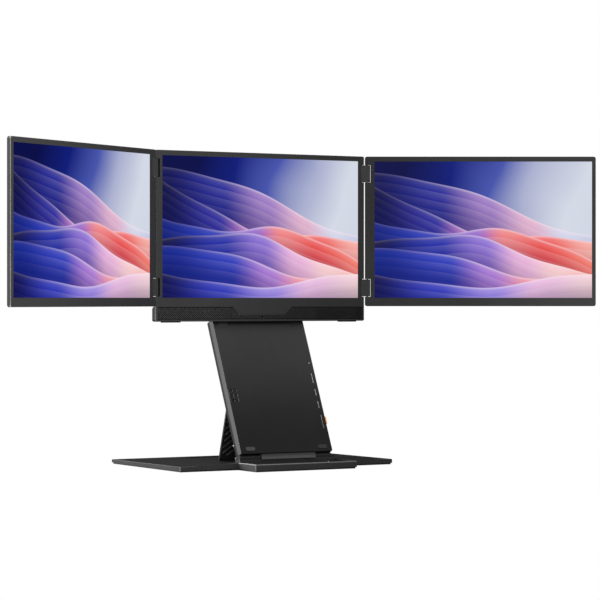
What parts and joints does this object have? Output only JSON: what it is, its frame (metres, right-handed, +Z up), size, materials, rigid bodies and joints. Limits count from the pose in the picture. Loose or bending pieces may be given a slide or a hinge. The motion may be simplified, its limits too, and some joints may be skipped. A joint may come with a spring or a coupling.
{
  "type": "laptop screen extender",
  "caption": "Portable triple-screen extender: a centre screen with two folding side screens, held on a tilting panel with a kickstand and a flat weighted base.",
  "frame": {"origin": "on the table, under the middle of the centre screen, in the plane of that screen's front", "axes": "+X to the user's right along the screens, +Y away from the user, +Z up"},
  "size_m": [0.8826, 0.2921, 0.422],
  "materials": {
    "stand_metal": "fine matte dark grey coating",
    "pan_steel": "matte black coating",
    "ballast_steel": "bare steel plate",
    "foot_rubber": "matte black",
    "rail_metal": "matte dark grey",
    "hinge_strip": "satin mid grey",
    "pin_steel": "polished steel",
    "panel_metal": "fine bead-blasted dark grey",
    "panel_back_metal": "fine bead-blasted dark grey",
    "screw_steel": "polished steel",
    "pad_rubber": "soft grey rubber",
    "circuit_board": "green board with dark chips",
    "spreader_metal": "bare sheet",
    "socket_metal": "nickel-plated",
    "led_lens": "clear light pipe",
    "bracket_steel": "matte black coating",
    "orange_plastic": "satin orange",
    "button_plastic": "satin black",
    "kickstand_metal": "matte black",
    "frame_plastic": "fine matte charcoal",
    "back_metal": "fine bead-blasted dark grey",
    "display_glass": "lit anti-glare display",
    "display_glass_left": "lit anti-glare display",
    "display_glass_right": "lit anti-glare display",
    "diffuser": "white light guide",
    "grille_metal": "black mesh",
    "speaker_plastic": "black",
    "hinge_block_metal": "satin dark grey"
  },
  "bodies": {
    "base": {"base_cover": "stand_metal", "base_pan": "pan_steel", "base_ballast": "ballast_steel", "base_feet": "foot_rubber", "floor_screw": "screw_steel", "hinge_rail": "rail_metal", "hinge_housing": "hinge_strip", "lower_hinge_pins": "pin_steel"},
    "panel": {"panel_front": "panel_metal", "panel_back": "panel_back_metal", "case_screws": "screw_steel", "panel_pads": "pad_rubber", "driver_board": "circuit_board", "heat_spreader": "spreader_metal", "port_sockets": "socket_metal", "status_led": "led_lens", "lower_hinge_bracket": "bracket_steel", "upper_hinge_lugs": "bracket_steel", "screen_hinge_pins": "pin_steel", "kickstand_pins": "pin_steel"},
    "kickstand": {"kickstand": "kickstand_metal", "kickstand_foot": "foot_rubber"},
    "power_switch": {"power_switch": "orange_plastic"},
    "menu_button": {"menu_button": "button_plastic"},
    "brightness_button": {"brightness_button": "button_plastic"},
    "screen": {"centre_bezel": "frame_plastic", "centre_back": "back_metal", "centre_lcd": "display_glass", "centre_backlight": "diffuser", "speaker_grille": "grille_metal", "left_speaker": "speaker_plastic", "right_speaker": "speaker_plastic", "microphone": "speaker_plastic", "timing_board": "circuit_board", "chin_feet": "foot_rubber", "screen_hinge_leaf": "bracket_steel", "centre_hinge_pins": "pin_steel"},
    "left_link": {"left_hinge_blocks": "hinge_block_metal"},
    "right_link": {"right_hinge_blocks": "hinge_block_metal"},
    "left_wing": {"left_bezel": "frame_plastic", "left_back": "back_metal", "left_lcd": "display_glass_left", "left_backlight": "diffuser", "left_wing_pins": "pin_steel"},
    "right_wing": {"right_bezel": "frame_plastic", "right_back": "back_metal", "right_lcd": "display_glass_right", "right_backlight": "diffuser", "right_wing_pins": "pin_steel"}
  },
  "joints": [
    {"name": "panel_fold", "type": "hinge", "parent": "base", "child": "panel", "pos_m": [0, -0.06, 0.0149], "axis": [1, 0, 0], "range_deg": [-65.2, 0]},
    {"name": "kickstand_fold", "type": "hinge", "parent": "panel", "child": "kickstand", "pos_m": [0, -0.0205, 0.098], "axis": [1, 0, 0], "range_deg": [0, 130.4]},
    {"name": "screen_tilt", "type": "hinge", "parent": "panel", "child": "screen", "pos_m": [0, 0.02375, 0.20093], "axis": [1, 0, 0], "range_deg": [-24.8, 4]},
    {"name": "left_hinge_turn", "type": "hinge", "parent": "screen", "child": "left_link", "pos_m": [-0.1585, 0.0033, 0.3193], "axis": [0, 0, 1], "range_deg": [-15, 75]},
    {"name": "left_wing_turn", "type": "hinge", "parent": "left_link", "child": "left_wing", "pos_m": [-0.16629, 0.00015, 0.3193], "axis": [0, 0, 1], "range_deg": [-15, 75]},
    {"name": "right_hinge_turn", "type": "hinge", "parent": "screen", "child": "right_link", "pos_m": [0.1585, 0.0033, 0.3193], "axis": [0, 0, -1], "range_deg": [-105, 30]},
    {"name": "right_wing_turn", "type": "hinge", "parent": "right_link", "child": "right_wing", "pos_m": [0.16629, 0.00015, 0.3193], "axis": [0, 0, -1], "range_deg": [-105, 30]},
    {"name": "power_switch_slide", "type": "slide", "parent": "panel", "child": "power_switch", "axis": [0, 0.4195, 0.9078], "range_m": [0, 0.0028]},
    {"name": "menu_button_press", "type": "slide", "parent": "panel", "child": "menu_button", "axis": [-1, 0, 0], "range_m": [0, 0.0006], "stiffness_N_per_m": 800},
    {"name": "brightness_button_press", "type": "slide", "parent": "panel", "child": "brightness_button", "axis": [-1, 0, 0], "range_m": [0, 0.0006], "stiffness_N_per_m": 800}
  ],
  "couplings": [
    {"joint": "kickstand_fold", "follows": "panel_fold", "ratio": -2}
  ]
}
